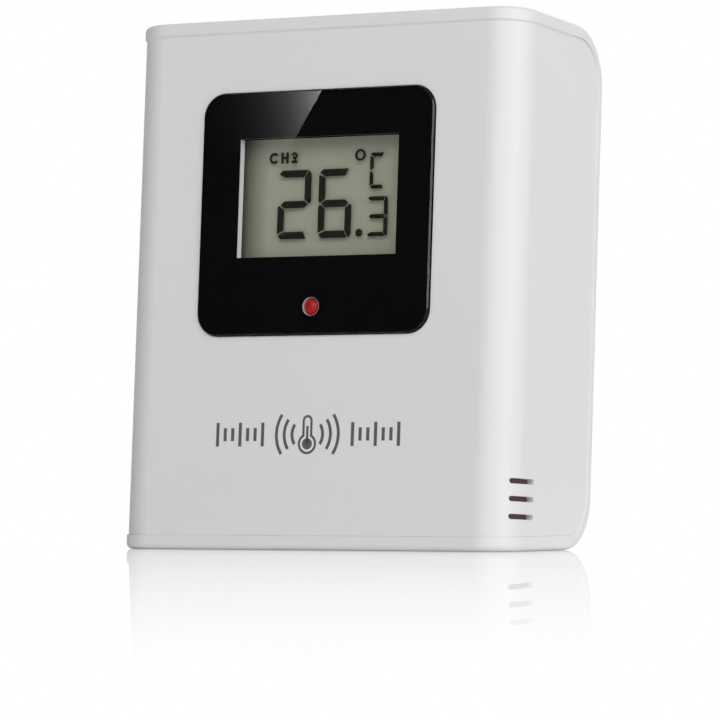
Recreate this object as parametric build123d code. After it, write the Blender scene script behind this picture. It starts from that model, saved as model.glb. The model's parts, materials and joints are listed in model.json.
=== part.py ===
"""Wireless temperature sensor: a small leaning plastic case with a display, two AA cells and a radio.

Every piece is drawn in the case's own upright frame: X to the right, Y from the front face into the
depth, Z up along the front face. main() then leans the piece back and sets the origin on the floor
under the middle of the whole case. All sizes are millimetres. A (low, high) pair is a span.
"""
from build123d import *
import math
import os

# Case outline
WIDTH = 74.9
DEPTH = 32.0
FRONT_HEIGHT = 90.2
LEAN = 3.95                      # degrees that the case leans back on its flat base
FRONT_CORNER = 6.15              # rounded upright corners of the front
TOP_BACK_CORNER = 9.8            # rounding from the top wall into the back
BASE_BACK_CORNER = 9.1           # rounding from the back into the base
EDGE_ROUND = 1.0

# Walls and the seam between the two case shells
WALL = 2.0
TOP_WALL = 2.2
BASE_WALL = 2.4
BACK_WALL = 1.7
INNER_ROUND = 7.6
SEAM_GAP = 0.02
COVER_STEP = 0.3                 # the front cover lies this much below the rear housing's surface
BACK_FACE = DEPTH - BACK_WALL    # inner face of the back wall
RUN = 0.1                        # clearance of a sliding or turning fit
TINY = 0.05                      # gap between pieces that only meet
PAST = 1.0                       # how far a cutter runs past what it cuts

# Window, display and indicator; they sit a little to the left of the middle
FACE_CENTRE = -0.2
WINDOW_WIDTH = 44.25
WINDOW_LOW = 36.1
WINDOW_HIGH = 77.5
WINDOW_CORNER = 4.0
WINDOW_PROUD = 0.4
WINDOW_THICK = 0.95
WINDOW_BEVEL = 0.25
MASK_THICK = 0.1
TAPE_THICK = 0.2
TAPE_BAND = 2.6
TAPE_INSET = 0.5
PAD_BACK = 2.1                   # depth of the thicker wall behind the window
PAD_MARGIN = 1.6
VIEW_WIDTH = 30.5
VIEW_LOW = 49.4
VIEW_HIGH = 69.7
MASK_FRONT = WINDOW_THICK - WINDOW_PROUD
TAPE_FRONT = MASK_FRONT + MASK_THICK
POCKET_FLOOR = TAPE_FRONT + TAPE_THICK

# Indicator: a 3 mm lamp whose dome stands in a hole through the window
LED_HEIGHT = 40.8
LED_HOLE = 1.57
LED_RADIUS = 1.5
LED_DOME = 0.75                  # depth of the dome's centre
LED_FLANGE = 1.9
LED_FLANGE_SPAN = (4.2, 5.2)
LED_LEG_HALF = 0.25
LED_LEG_APART = 1.27

# Display stack, front to back
GLASS_WIDTH = 36.0
GLASS_LOW = 46.0
GLASS_HIGH = 72.4
LEDGE_HIGH = 49.0                # the rear glass stops here and leaves the contact ledge bare
STACK_FRONT = PAD_BACK + TINY
FILM = 0.2
GLASS = 0.7
SEGMENT = 0.05
SEGMENT_GAP = 0.01               # clearance of the segments from the glass before and behind them
FRAME_WIDTH = 41.0
FRAME_LOW = 44.0
FRAME_HIGH = 74.4
FRAME_LIP = 1.0
CONNECTOR_HALF_WIDTH = 17.0
SEGMENT_FRONT = STACK_FRONT + FILM + GLASS + SEGMENT_GAP
REAR_GLASS_FRONT = SEGMENT_FRONT + SEGMENT + SEGMENT_GAP

# What the display shows: left, low, width, height and stroke of each digit
TENS = (-9.18, 52.7, 6.35, 11.7, 1.22)
ONES = (-1.33, 52.7, 6.35, 11.7, 1.22)
TENTHS = (8.05, 52.75, 3.9, 6.75, 0.74)
UNIT_LETTER = (8.35, 60.8, 3.0, 6.1, 0.66)
POINT = (6.6, 53.45)
POINT_RADIUS = 0.66
DEGREE = (6.45, 66.6)
DEGREE_RING = (1.02, 0.6)
CHANNEL_LETTERS = (-11.1, 65.6)
LETTER_HEIGHT = 1.9
LETTER_STROKE = 0.43
LETTER_BOW = 0.6
LETTER_H = 2.3                   # distances of the H and the 2 from the C's left edge
LETTER_TWO = 4.25
LETTER_H_WIDTH = 1.42
LETTER_TWO_WIDTH = 1.2

# Main board and the posts for the screws
BOARD_FRONT = 8.0
BOARD_BACK = 9.6
BOARD_HALF_WIDTH = 34.2
BOARD_LOW = 5.0
BOARD_HIGH = 84.0
BOARD_NOTCH = (26.0, 14.5)       # the air corner, to the right of the first and below the second
BOARD_POSTS = ((-28.0, 30.0), (28.0, 30.0), (-28.0, 70.0), (28.0, 70.0))
BOARD_POST_RADIUS = 2.2
BOARD_PILOT = 0.82
CASE_POSTS = ((-30.5, 20.0), (30.5, 20.0), (-30.5, 79.0), (30.5, 79.0))
CASE_POST_RADIUS = 2.6
CASE_PILOT = 1.17
PILOT_FRONT = 4.0
POST_MEET = 11.0                 # where the front posts meet the rear posts
SLEEVE_RADIUS = 4.2              # rear posts, with a recess for the screw's head
HEAD_RECESS = 2.9
HEAD_SEAT = 13.0
SHANK_HOLE = 1.35

# Screws: head radius, head seat, shank radius and length below the head
BOARD_SCREW = (1.7, BOARD_BACK, 0.8, 5.5)
CASE_SCREW = (2.6, HEAD_SEAT, 1.15, 8.0)
HEAD_ROUND = 0.3
RECESS_DEPTH = 0.6
RECESS_HALF = 0.2
RECESS_REACH = 0.62              # of the head's radius

# Battery well and its door
WELL_LEFT = -22.3
WELL_RIGHT = 22.3
WELL_LOW = 9.5
WELL_HIGH = 66.5
WELL_FLOOR = 15.2
WELL_FLOOR_THICK = 1.2
WELL_WALL = 1.8
DIVIDER = (9.0, 10.0)            # rib between the cells and the switch bay
DIVIDER_TOP = 26.0
CELL_RIB = (17.2, 20.0, 56.0)    # top, lower and upper end of the rib between the cells
CELL_RIB_HALF = 0.5
OPENING_HALF_WIDTH = 23.3
OPENING_LOW = 11.6
OPENING_HIGH = 67.4
DOOR_GAP = 0.2
DOOR_CORNER = 1.2
DOOR_FOOT = (22.0, 14.5)         # half width beside the hinge, and the height where it ends
DOOR_INNER = BACK_FACE + RUN
HINGE_DEPTH = DEPTH - 1.0
HINGE_HEIGHT = 12.8
PIN_RADIUS = 0.5
PIN_LENGTH = 47.8
PIN_END_GAP = 0.2
TONGUE_HALF = 7.0
TONGUE_LOW = 57.0
TONGUE_SLIT = 0.3
GRIP_LOW = 59.5
GRIP_STEP = 1.6
GRIP_WIDTH = 0.7
GRIP_HALF = 5.0
GRIP_PROUD = 0.3
DOOR_RIBS = (-16.0, 16.0)
DOOR_RIB_SPAN = (20.0, 60.0)
DOOR_RIB_TALL = 0.6

# Cells and their contacts
CELL_RADIUS = 7.2
CELL_BODY = 49.5
CELL_EDGE = 0.5
NUB_RADIUS = 2.7
NUB_HEIGHT = 1.0
CELL_DEPTH = WELL_FLOOR + CELL_RADIUS + 0.15
LEFT_CELL = (-14.27, 15.0)       # across, and the height of the cell's lower end
RIGHT_CELL = (0.96, 11.5)
CONTACT = 0.4
CONTACT_DEPTHS = (17.5, 28.0)
CONTACT_HALF = 5.0
BOSS_RADIUS = 2.2
LEAF_HALF = 3.5
TAB_HALF = 1.5
TAB_DEPTHS = (12.0, 18.0)
LEAD_RADIUS = 0.5
LEAD_DEPTH = 12.7
PAD_HEIGHT = 62.0
POSITIVE_PAD = -18.5
NEGATIVE_PAD = -3.5

# Controls in the bay beside the cells
BAY_CENTRE = 16.15
RESET_HEIGHT = 20.0
UNIT_HEIGHT = 32.0
SWITCH_HEIGHT = 50.0
SWITCH_TRAVEL = 2.0
SWITCH_HALF = (2.0, 5.0)
SWITCH_BACK = 13.2
LEVER_HALF = (0.75, 0.9)
LEVER_DEPTHS = (11.8, 16.0)
THUMB_HALF = (1.7, 1.6)
THUMB_DEPTHS = (15.4, 16.9)
THUMB_GROOVE = 0.3
BUTTON_RADIUS = 1.75
BUTTON_DEPTHS = (13.5, 16.8)
BUTTON_FLANGE = 2.6
BUTTON_FLANGE_DEPTHS = (13.2, 13.8)
PUSH_HALF = 3.0
PUSH_BACK = 12.6
PUSH_BORE = 10.6
PLUNGER_DEPTHS = (11.2, 13.2)

# Keyhole for hanging, with a closed box behind it
KEYHOLE_HEIGHT = 73.0
KEYHOLE_RADIUS = 4.0
KEYHOLE_SLOT = 2.0
KEYHOLE_RISE = 6.5
POCKET_DEPTH = 7.2
POCKET_WALL = 1.2
POCKET_HALF = 7.2
POCKET_TOP = 84.5

# Air slots low on both sides, the recess behind them and its foam filter
SLOT_HEIGHTS = (6.1, 9.03, 11.95)
SLOT_TALL = 0.9
SLOT_TILT = 1.7                  # degrees that each slot rises towards the back
SLOT_DEPTHS = (3.0, 10.3)
RECESS_OUT = 35.9
RECESS_DEPTHS = (3.0, 11.5)
RECESS_HEIGHTS = (4.4, 13.8)
FILTER_THICK = 0.8
PARTITION = (24.6, 25.6)         # wall between the air corner and the rest of the case
PARTITION_TOP = 15.0

# Small parts on the main board
CHIP = (-8.0, 24.0, 6.0, 1.5, 1.4)               # across, height, radius, thickness, rounding
CRYSTAL = (6.0, 24.0, 1.0, 6.0)                  # across, height, radius, length
CRYSTAL_LEG_APART = 0.4
CRYSTAL_LEG_HALF = 0.12
CRYSTAL_LEG_LENGTH = 1.8
CAPACITOR = (-29.5, 38.0, 2.5, 7.0, 0.4)
RADIO_ACROSS = (-34.0, -25.2)
RADIO_DEPTHS = (11.4, 12.2)
RADIO_HEIGHTS = (45.0, 66.0)
RADIO_PIN = (-33.0, 0.3)                         # across, half width
RADIO_PIN_HEIGHTS = (49.0, 51.5, 54.0)
RADIO_CHIP = ((-32.0, -28.0), (12.1, 13.3), (56.0, 60.0))
RESONATOR = (-30.5, 50.5, 2.3, 2.2, 0.3)
ANTENNA_RADIUS = 0.5
ANTENNA_DEPTH = 12.85
ANTENNA_SIDES = 25.3
ANTENNA_START = 63.0
ANTENNA_TOP = 85.3
ANTENNA_END = 71.0
BEAD = (31.4, 9.1, 1.25)
BEAD_LEG_RADIUS = 0.2
BEAD_LEG_ACROSS = (26.0, 30.8)
BEAD_LEG_APART = 0.5


def block(across, depth, height):
    """A box from three spans."""
    spans = (across, depth, height)
    size = [high - low for low, high in spans]
    middle = [(high + low) / 2 for low, high in spans]
    return Pos(*middle) * Box(*size)


def about(middle, half):
    """The span that reaches half to either side of middle."""
    return middle - half, middle + half


def rod(x, z, radius, depth):
    """A round bar along the depth."""
    return Pos(x, sum(depth) / 2, z) * Rot(90, 0, 0) * Cylinder(radius, depth[1] - depth[0])


def cross_rod(radius, length, x, depth, height):
    """A round bar from side to side, with x at its middle."""
    return Pos(x, depth, height) * Rot(0, 90, 0) * Cylinder(radius, length)


def mirrored(shape):
    """The shape's twin on the other side of the middle plane."""
    return mirror(shape, about=Plane.YZ)


def base_at(depth):
    """Height of the flat base at a depth: it slopes, because the case leans on it."""
    return depth * math.tan(math.radians(LEAN))


def side_outline(front, back, top, above_base, top_round, base_round):
    """The case seen from the side, as a solid across the whole width."""
    base = [(depth, base_at(depth) + above_base) for depth in (front, back)]
    face = make_face(Polyline(*base, (back, top), (front, top), close=True))
    back_top = max(face.vertices().sort_by(Axis.X)[-2:], key=lambda vertex: vertex.Y)
    face = fillet(back_top, top_round)
    back_base = [v for v in face.vertices() if abs(v.X - back) < TINY and v.Y < top / 2][0]
    face = fillet(back_base, base_round)
    return extrude(Plane.YZ * face, WIDTH, both=True)


def plan_outline(inset, corner):
    """The case seen from above, with its two rounded front corners, as a tall solid."""
    half = WIDTH / 2 - inset
    far = 2 * DEPTH
    face = make_face(Polyline((-half, inset), (half, inset), (half, far), (-half, far), close=True))
    face = fillet(face.vertices().sort_by(Axis.Y)[:2], corner)
    return Pos(0, 0, -DEPTH) * extrude(face, FRONT_HEIGHT + far)


def face_plate(width, height, corner, depth):
    """A plate with rounded corners on the front's centre line, over a span of heights and depths."""
    face = RectangleRounded(width, height[1] - height[0], corner)
    plate = extrude(Plane.XZ * face, -(depth[1] - depth[0]))
    return Pos(FACE_CENTRE, depth[0], sum(height) / 2) * plate


def case_envelope():
    """The outside of the closed case, with its long edges rounded."""
    body = side_outline(0, DEPTH, FRONT_HEIGHT, 0, TOP_BACK_CORNER, BASE_BACK_CORNER)
    body = plan_outline(0, FRONT_CORNER) & body

    def stays_sharp(edge):
        """True for the lines where two surfaces already run smoothly into each other."""
        line = edge.geom_type == GeomType.LINE
        upright = line and edge.bounding_box().size.Z > FRONT_HEIGHT / 2
        middle = edge.center()
        return (upright and middle.Y < DEPTH / 2) or (line and abs(middle.X) < TINY and middle.Y > DEPTH / 4)

    return fillet([edge for edge in body.edges() if not stays_sharp(edge)], EDGE_ROUND)


def seam_body(gap):
    """What the rear housing wraps around: open at the front, inset on the top, back and base."""
    top = FRONT_HEIGHT - TOP_WALL - gap
    return side_outline(-FRONT_CORNER, BACK_FACE - gap, top, BASE_WALL + gap, INNER_ROUND, INNER_ROUND)


def slot_cutters():
    """The air slots of the right side with the recess behind them."""
    cutters = [block((RECESS_OUT - 2 * FILTER_THICK, RECESS_OUT), RECESS_DEPTHS, RECESS_HEIGHTS)]
    for height in SLOT_HEIGHTS:
        face = SlotOverall(SLOT_DEPTHS[1] - SLOT_DEPTHS[0], SLOT_TALL)
        slot = extrude(Plane.YZ * face, WIDTH / 4)
        centre = Pos(RECESS_OUT - FILTER_THICK, sum(SLOT_DEPTHS) / 2, height)
        cutters.append(centre * Rot(SLOT_TILT, 0, 0) * slot)
    return cutters


def front_cover():
    """Front wall and both side walls, with the window pocket, slots and posts."""
    cover = plan_outline(COVER_STEP, FRONT_CORNER - COVER_STEP) & seam_body(SEAM_GAP)
    cover -= plan_outline(WALL, FRONT_CORNER - WALL)
    half_pad = WINDOW_WIDTH / 2 + PAD_MARGIN
    pad_height = (WINDOW_LOW - PAD_MARGIN, WINDOW_HIGH + PAD_MARGIN)
    cover += block((-half_pad, half_pad), (PAST, PAD_BACK), pad_height)
    pocket_height = (WINDOW_LOW - RUN, WINDOW_HIGH + RUN)
    cover -= face_plate(WINDOW_WIDTH + 2 * RUN, pocket_height, WINDOW_CORNER + RUN, (-PAST, POCKET_FLOOR))
    cover -= block(about(FACE_CENTRE, VIEW_WIDTH / 2), (0, 2 * PAD_BACK), (VIEW_LOW, VIEW_HIGH))
    cover -= rod(FACE_CENTRE, LED_HEIGHT, LED_HOLE, (0, 2 * PAD_BACK))
    for x, z in CASE_POSTS:
        cover += rod(x, z, CASE_POST_RADIUS, (PAST, POST_MEET))
        cover -= rod(x, z, CASE_PILOT, (PILOT_FRONT, POST_MEET + PAST))
    for x, z in BOARD_POSTS:
        cover += rod(x, z, BOARD_POST_RADIUS, (PAST, BOARD_FRONT))
        cover -= rod(x, z, BOARD_PILOT, (PILOT_FRONT - 2 * RUN, BOARD_FRONT + PAST))
    cover += block(PARTITION, (PAST, BOARD_FRONT - RUN), (BASE_WALL + PAST, PARTITION_TOP))
    for cutter in slot_cutters():
        cover -= cutter
        cover -= mirrored(cutter)
    return cover


def air_filter():
    """Foam pads in the recesses behind the slots, one on either side."""
    span = (RECESS_OUT - FILTER_THICK, RECESS_OUT - TINY)
    depth = (RECESS_DEPTHS[0] + TINY, RECESS_DEPTHS[1] - TINY)
    height = (RECESS_HEIGHTS[0] + TINY, RECESS_HEIGHTS[1] - TINY)
    pad = block(span, depth, height)
    return Compound(children=[pad, mirrored(pad)])


def inside_the_shell(shape):
    """The part of a shape that lies in the rear housing's own hollow."""
    return shape & seam_body(0)


def battery_well():
    """The tray for the cells and the switch bay, with its divider, cell rib and button holes."""
    well = block(
        (WELL_LEFT - WELL_WALL, WELL_RIGHT + WELL_WALL),
        (WELL_FLOOR - WELL_FLOOR_THICK, BACK_FACE),
        (WELL_LOW - WELL_WALL, WELL_HIGH + WELL_WALL),
    )
    well -= block((WELL_LEFT, WELL_RIGHT), (WELL_FLOOR, DEPTH), (WELL_LOW, WELL_HIGH))
    well += block(DIVIDER, (WELL_FLOOR, DIVIDER_TOP), (WELL_LOW, WELL_HIGH))
    between = (LEFT_CELL[0] + RIGHT_CELL[0]) / 2
    well += block(about(between, CELL_RIB_HALF), (WELL_FLOOR, CELL_RIB[0]), CELL_RIB[1:])
    through = (WELL_FLOOR - WELL_FLOOR_THICK - PAST, WELL_FLOOR + PAST)
    for height in (RESET_HEIGHT, UNIT_HEIGHT):
        well -= rod(BAY_CENTRE, height, BUTTON_RADIUS + RUN, through)
    slot = LEVER_HALF[1] + SWITCH_TRAVEL + 3 * RUN
    well -= block(about(BAY_CENTRE, LEVER_HALF[0] + RUN), through, about(SWITCH_HEIGHT, slot))
    for x in (LEFT_CELL[0], RIGHT_CELL[0]):
        well -= block(about(x, TAB_HALF + 2 * RUN), through, (WELL_HIGH - CONTACT - 2 * RUN, WELL_HIGH))
    return inside_the_shell(well)


def keyhole(depth):
    """The hanging hole: a round entry with a narrower slot above it."""
    slot_top = KEYHOLE_HEIGHT + KEYHOLE_RISE
    entry = rod(0, KEYHOLE_HEIGHT, KEYHOLE_RADIUS, depth)
    slot = block((-KEYHOLE_SLOT, KEYHOLE_SLOT), depth, (KEYHOLE_HEIGHT, slot_top))
    return entry + slot + rod(0, slot_top, KEYHOLE_SLOT, depth)


def keyhole_box():
    """The closed box behind the keyhole, which keeps the wall screw's head away from the antenna."""
    low = WELL_HIGH + WELL_WALL
    front = BACK_FACE - POCKET_DEPTH
    inner_half = POCKET_HALF - POCKET_WALL
    box = block((-POCKET_HALF, POCKET_HALF), (front, BACK_FACE), (low, POCKET_TOP))
    box -= block((-inner_half, inner_half), (front + POCKET_WALL, DEPTH), (low, POCKET_TOP - POCKET_WALL))
    return inside_the_shell(box)


def rear_housing():
    """Top, back and base in one piece, with the door opening, the keyhole and the rear posts."""
    housing = case_envelope() - seam_body(0)
    for x, z in CASE_POSTS:
        housing += rod(x, z, SLEEVE_RADIUS, (POST_MEET + TINY, BACK_FACE + TINY))
        housing -= rod(x, z, HEAD_RECESS, (HEAD_SEAT, DEPTH + PAST))
        housing -= rod(x, z, SHANK_HOLE, (POST_MEET - PAST, HEAD_SEAT + PAST))
    housing -= keyhole((BACK_FACE - PAST, DEPTH + PAST))
    opening = (-OPENING_HALF_WIDTH, OPENING_HALF_WIDTH)
    housing -= block(opening, (BACK_FACE, DEPTH + PAST), (OPENING_LOW, OPENING_HIGH))
    pin_room = (PIN_RADIUS + RUN / 2, PIN_LENGTH + 2 * PIN_END_GAP)
    return housing - cross_rod(*pin_room, 0, HINGE_DEPTH, HINGE_HEIGHT)


def door_plate():
    """The flat of the battery door, narrower beside the hinge and rounded around it."""
    edge = OPENING_HALF_WIDTH - DOOR_GAP
    foot, foot_top = DOOR_FOOT
    plate = block((-edge, edge), (DOOR_INNER, DEPTH), (foot_top - CELL_EDGE, OPENING_HIGH - DOOR_GAP))
    plate = fillet(plate.edges().filter_by(Axis.Y).sort_by(Axis.Z)[-2:], DOOR_CORNER)
    plate += block((-foot, foot), (DOOR_INNER, DEPTH), (HINGE_HEIGHT, foot_top))
    knuckle = cross_rod(DEPTH - HINGE_DEPTH, 2 * foot, 0, HINGE_DEPTH, HINGE_HEIGHT)
    return plate + (knuckle & block((-foot, foot), (DOOR_INNER, DEPTH), (0, FRONT_HEIGHT)))


def battery_door():
    """Snap-in door on two bottom pins, with a spring tongue at the top and grip ribs."""
    door = door_plate() + cross_rod(PIN_RADIUS, PIN_LENGTH, 0, HINGE_DEPTH, HINGE_HEIGHT)
    for x in (-TONGUE_HALF, TONGUE_HALF):
        door -= block(about(x, TONGUE_SLIT), (0, DEPTH + PAST), (TONGUE_LOW, FRONT_HEIGHT))
    for step in range(4):
        height = GRIP_LOW + GRIP_STEP * step
        depth = (DEPTH - 2 * RUN, DEPTH + GRIP_PROUD)
        door += block((-GRIP_HALF, GRIP_HALF), depth, (height, height + GRIP_WIDTH))
    for x in DOOR_RIBS:
        door += block(about(x, CELL_RIB_HALF), (DOOR_INNER - DOOR_RIB_TALL, DOOR_INNER + RUN), DOOR_RIB_SPAN)
    return door


def display_window():
    """Clear plate that stands a little proud of the front, bevelled, with a hole for the indicator."""
    depth = (-WINDOW_PROUD, MASK_FRONT)
    plate = face_plate(WINDOW_WIDTH, (WINDOW_LOW, WINDOW_HIGH), WINDOW_CORNER, depth)
    plate = chamfer(plate.faces().sort_by(Axis.Y)[0].edges(), WINDOW_BEVEL)
    return plate - rod(FACE_CENTRE, LED_HEIGHT, LED_HOLE, (-PAST, PAST))


def window_mask():
    """Black print on the window's back, clear over the display and the indicator."""
    mask = face_plate(WINDOW_WIDTH, (WINDOW_LOW, WINDOW_HIGH), WINDOW_CORNER, (MASK_FRONT, TAPE_FRONT))
    mask -= block(about(FACE_CENTRE, VIEW_WIDTH / 2), (0, PAST), (VIEW_LOW, VIEW_HIGH))
    return mask - rod(FACE_CENTRE, LED_HEIGHT, LED_HOLE, (0, PAST))


def window_tape():
    """Frame of double-sided tape that holds the window in its pocket."""
    low, high = WINDOW_LOW + TAPE_INSET, WINDOW_HIGH - TAPE_INSET
    width = WINDOW_WIDTH - 2 * TAPE_INSET
    tape = face_plate(width, (low, high), WINDOW_CORNER - TAPE_INSET, (TAPE_FRONT, POCKET_FLOOR))
    inner = (low + TAPE_BAND, high - TAPE_BAND)
    return tape - face_plate(width - 2 * TAPE_BAND, inner, TAPE_BAND / 2, (0, PAST))


def status_led():
    """3 mm lamp: domed lens, flange and two legs that end in the board."""
    x = FACE_CENTRE
    led = Pos(x, LED_DOME, LED_HEIGHT) * Sphere(LED_RADIUS)
    led += rod(x, LED_HEIGHT, LED_RADIUS, (LED_DOME, LED_FLANGE_SPAN[1]))
    led += rod(x, LED_HEIGHT, LED_FLANGE, LED_FLANGE_SPAN)
    for leg in (x - LED_LEG_APART, x + LED_LEG_APART):
        depth = (LED_FLANGE_SPAN[1] - RUN, BOARD_FRONT)
        led += block(about(leg, LED_LEG_HALF), depth, about(LED_HEIGHT, LED_LEG_HALF))
    return led


def glass_plate(low, front, thickness):
    """One layer of the display, from its lower edge up to the common top edge."""
    return block(about(FACE_CENTRE, GLASS_WIDTH / 2), (front, front + thickness), (low, GLASS_HIGH))


def lcd_frame():
    """White carrier that clamps the display between the front wall and the board."""
    inner = about(FACE_CENTRE, GLASS_WIDTH / 2 + RUN)
    stack_back = REAR_GLASS_FRONT + GLASS + FILM
    outer = about(FACE_CENTRE, FRAME_WIDTH / 2)
    frame = block(outer, (STACK_FRONT, BOARD_FRONT - TINY), (FRAME_LOW, FRAME_HIGH))
    frame -= block(inner, (0, stack_back), (GLASS_LOW - RUN, GLASS_HIGH + RUN))
    frame -= block(inner, (0, DEPTH), (GLASS_LOW - RUN, LEDGE_HIGH - RUN))
    frame -= block(inner, (stack_back + FRAME_LIP, DEPTH), (LEDGE_HIGH + FRAME_LIP, GLASS_HIGH - FRAME_LIP))
    return frame


def lcd_connector():
    """Conducting rubber strip from the front glass's ledge to the board."""
    height = (GLASS_LOW + 3 * RUN, LEDGE_HIGH - 4 * RUN)
    across = about(FACE_CENTRE, CONNECTOR_HALF_WIDTH)
    return block(across, (STACK_FRONT + FILM + GLASS, BOARD_FRONT), height)


def segment_outlines(w, h, t):
    """Corner points of the seven strokes of a digit of width w, height h and stroke t, named a to g."""
    mid = h / 2
    top = ((0.1 * t, h - 0.5 * t), (0.6 * t, h), (w - 0.6 * t, h), (w - 1.1 * t, h - t), (1.1 * t, h - t))
    upper_right = (
        (w - 0.45 * t, h), (w, h - 0.5 * t), (w, mid + 0.35 * t),
        (w - 0.25 * t, mid + 0.1 * t), (w - t, mid + 0.7 * t), (w - t, h - 1.1 * t),
    )
    upper_left = (
        (0, h - 0.75 * t), (t, h - 1.2 * t), (t, mid + 0.7 * t),
        (0.25 * t, mid + 0.1 * t), (0, mid + 0.35 * t),
    )
    middle = (
        (0.45 * t, mid), (1.05 * t, mid + t / 2), (w - 1.05 * t, mid + t / 2),
        (w - 0.45 * t, mid), (w - 1.05 * t, mid - t / 2), (1.05 * t, mid - t / 2),
    )
    upside_down = [[(x, h - z) for x, z in outline] for outline in (top, upper_right, upper_left)]
    return {"a": top, "b": upper_right, "f": upper_left, "g": middle} | dict(zip("dce", upside_down))


def digit(strokes, left, low, width, height, stroke):
    """The named strokes of one seven-segment digit, as flat outlines on the display."""
    outlines = segment_outlines(width, height, stroke)
    placed = [[(left + x, low + z) for x, z in outlines[name]] for name in strokes]
    return [make_face(Polyline(*outline, close=True)) for outline in placed]


def ring(x, z, outer, inner):
    """A flat ring."""
    return Pos(x, z) * (Circle(outer) - Circle(inner))


def channel_letters(left, low):
    """The small channel mark: C, H and 2."""
    tall, stroke, bow = LETTER_HEIGHT, LETTER_STROKE, LETTER_BOW
    radius = tall / 2
    middle = low + radius
    letter_c = ring(left + radius, middle, radius, radius - stroke)
    letter_c -= Pos(left + 2 * radius, middle) * Rectangle(radius, radius)
    first, last = left + LETTER_H + stroke / 2, left + LETTER_H + LETTER_H_WIDTH - stroke / 2
    letter_h = Pos(first, middle) * Rectangle(stroke, tall) + Pos(last, middle) * Rectangle(stroke, tall)
    letter_h += Pos((first + last) / 2, middle) * Rectangle(last - first, stroke)
    start = left + LETTER_TWO
    top = low + tall
    letter_2 = ring(start + bow, top - bow, bow, bow - stroke)
    letter_2 -= Pos(start, top - 1.5 * bow) * Rectangle(bow, bow)
    slope = ((0, 0), (1.5 * stroke, 0), (2 * bow, tall - 1.25 * bow), (1.4 * bow, tall - 1.5 * bow))
    letter_2 += make_face(Polyline(*[(start + x, low + z) for x, z in slope], close=True))
    letter_2 += Pos(start + LETTER_TWO_WIDTH / 2, low + stroke / 2) * Rectangle(LETTER_TWO_WIDTH, stroke)
    return [letter_c, letter_h, letter_2]


def lcd_segments():
    """Everything the display shows: 26.3, the degree sign, C and the channel mark."""
    marks = digit("abged", *TENS) + digit("afgedc", *ONES)
    marks += digit("abgcd", *TENTHS) + digit("afed", *UNIT_LETTER)
    marks += [Pos(*POINT) * Circle(POINT_RADIUS), ring(*DEGREE, *DEGREE_RING)]
    marks += channel_letters(*CHANNEL_LETTERS)
    solids = []
    for mark in marks:
        solids += (Pos(0, SEGMENT_FRONT, 0) * extrude(Plane.XZ * mark, -SEGMENT)).solids()
    return Compound(children=solids)


def main_board():
    """Circuit board, notched for the air corner and drilled for the posts and screws."""
    board = block((-BOARD_HALF_WIDTH, BOARD_HALF_WIDTH), (BOARD_FRONT, BOARD_BACK), (BOARD_LOW, BOARD_HIGH))
    board -= block((BOARD_NOTCH[0], WIDTH), (0, DEPTH), (0, BOARD_NOTCH[1]))
    for x, z in CASE_POSTS:
        board -= rod(x, z, CASE_POST_RADIUS + 2 * RUN, (0, DEPTH))
    for x, z in BOARD_POSTS:
        board -= rod(x, z, BOARD_SCREW[2] + 2 * RUN, (0, DEPTH))
    return board


def screw(x, z, head_radius, seat, shank_radius, length):
    """Pan-head self-tapping screw with a cross recess, driven from the back."""
    top = seat + 1.2 * shank_radius + HEAD_ROUND
    body = rod(x, z, head_radius, (seat, top))
    body = fillet(body.edges().sort_by(Axis.Y)[-1], HEAD_ROUND)
    reach = head_radius * RECESS_REACH
    depth = (top - RECESS_DEPTH, top + PAST)
    body -= block(about(x, reach), depth, about(z, RECESS_HALF))
    body -= block(about(x, RECESS_HALF), depth, about(z, reach))
    return body + rod(x, z, shank_radius, (seat - length, seat + RUN))


def screws(places, sizes):
    """One screw at each place."""
    return Compound(children=[screw(x, z, *sizes) for x, z in places])


def rounded_stud(x, z, radius, tall, rounding, foot):
    """A low round body that stands on foot, with a rounded top edge."""
    stud = rod(x, z, radius, (foot, foot + tall))
    return fillet(stud.edges().sort_by(Axis.Y)[-1], rounding)


def crystal():
    """Small watch-crystal can lying on the board with its two legs."""
    x, z, radius, length = CRYSTAL
    can = Pos(x, BOARD_BACK + radius + TINY, z) * Cylinder(radius, length)
    foot = z - length / 2
    for leg in about(x, CRYSTAL_LEG_APART):
        depth = (BOARD_BACK, BOARD_BACK + radius + RUN)
        can += block(about(leg, CRYSTAL_LEG_HALF), depth, (foot - CRYSTAL_LEG_LENGTH + RUN, foot + RUN))
    return can


def radio_board():
    """Radio module: a small board on three header pins, with its chip."""
    board = block(RADIO_ACROSS, RADIO_DEPTHS, RADIO_HEIGHTS)
    across, half = RADIO_PIN
    for height in RADIO_PIN_HEIGHTS:
        board += block(about(across, half), (BOARD_BACK, RADIO_DEPTHS[0] + RUN), about(height, half))
    return board + block(*RADIO_CHIP)


def wire(radius, *points):
    """A round wire through the points, with a bend of twice its own thickness at each one."""
    path = FilletPolyline(*points, radius=4 * radius)
    start = Plane(origin=path @ 0, z_dir=path % 0)
    return sweep(start * Circle(radius), path=path)


def antenna():
    """Quarter-wave wire from the radio board, over the top of the well and down the far side."""
    left, right, depth = -ANTENNA_SIDES, ANTENNA_SIDES, ANTENNA_DEPTH
    corners = ((left, ANTENNA_START), (left, ANTENNA_TOP), (right, ANTENNA_TOP), (right, ANTENNA_END))
    return wire(ANTENNA_RADIUS, *[(x, depth, z) for x, z in corners])


def thermistor():
    """Temperature bead in the air corner, on two thin legs from the board's edge."""
    depth = (BOARD_FRONT + BOARD_BACK) / 2
    x, z, radius = BEAD
    bead = Pos(x, depth, z) * Sphere(radius)
    start, end = BEAD_LEG_ACROSS
    for height in about(z, BEAD_LEG_APART):
        bead += cross_rod(BEAD_LEG_RADIUS, end - start, (start + end) / 2, depth, height)
    return bead


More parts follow.
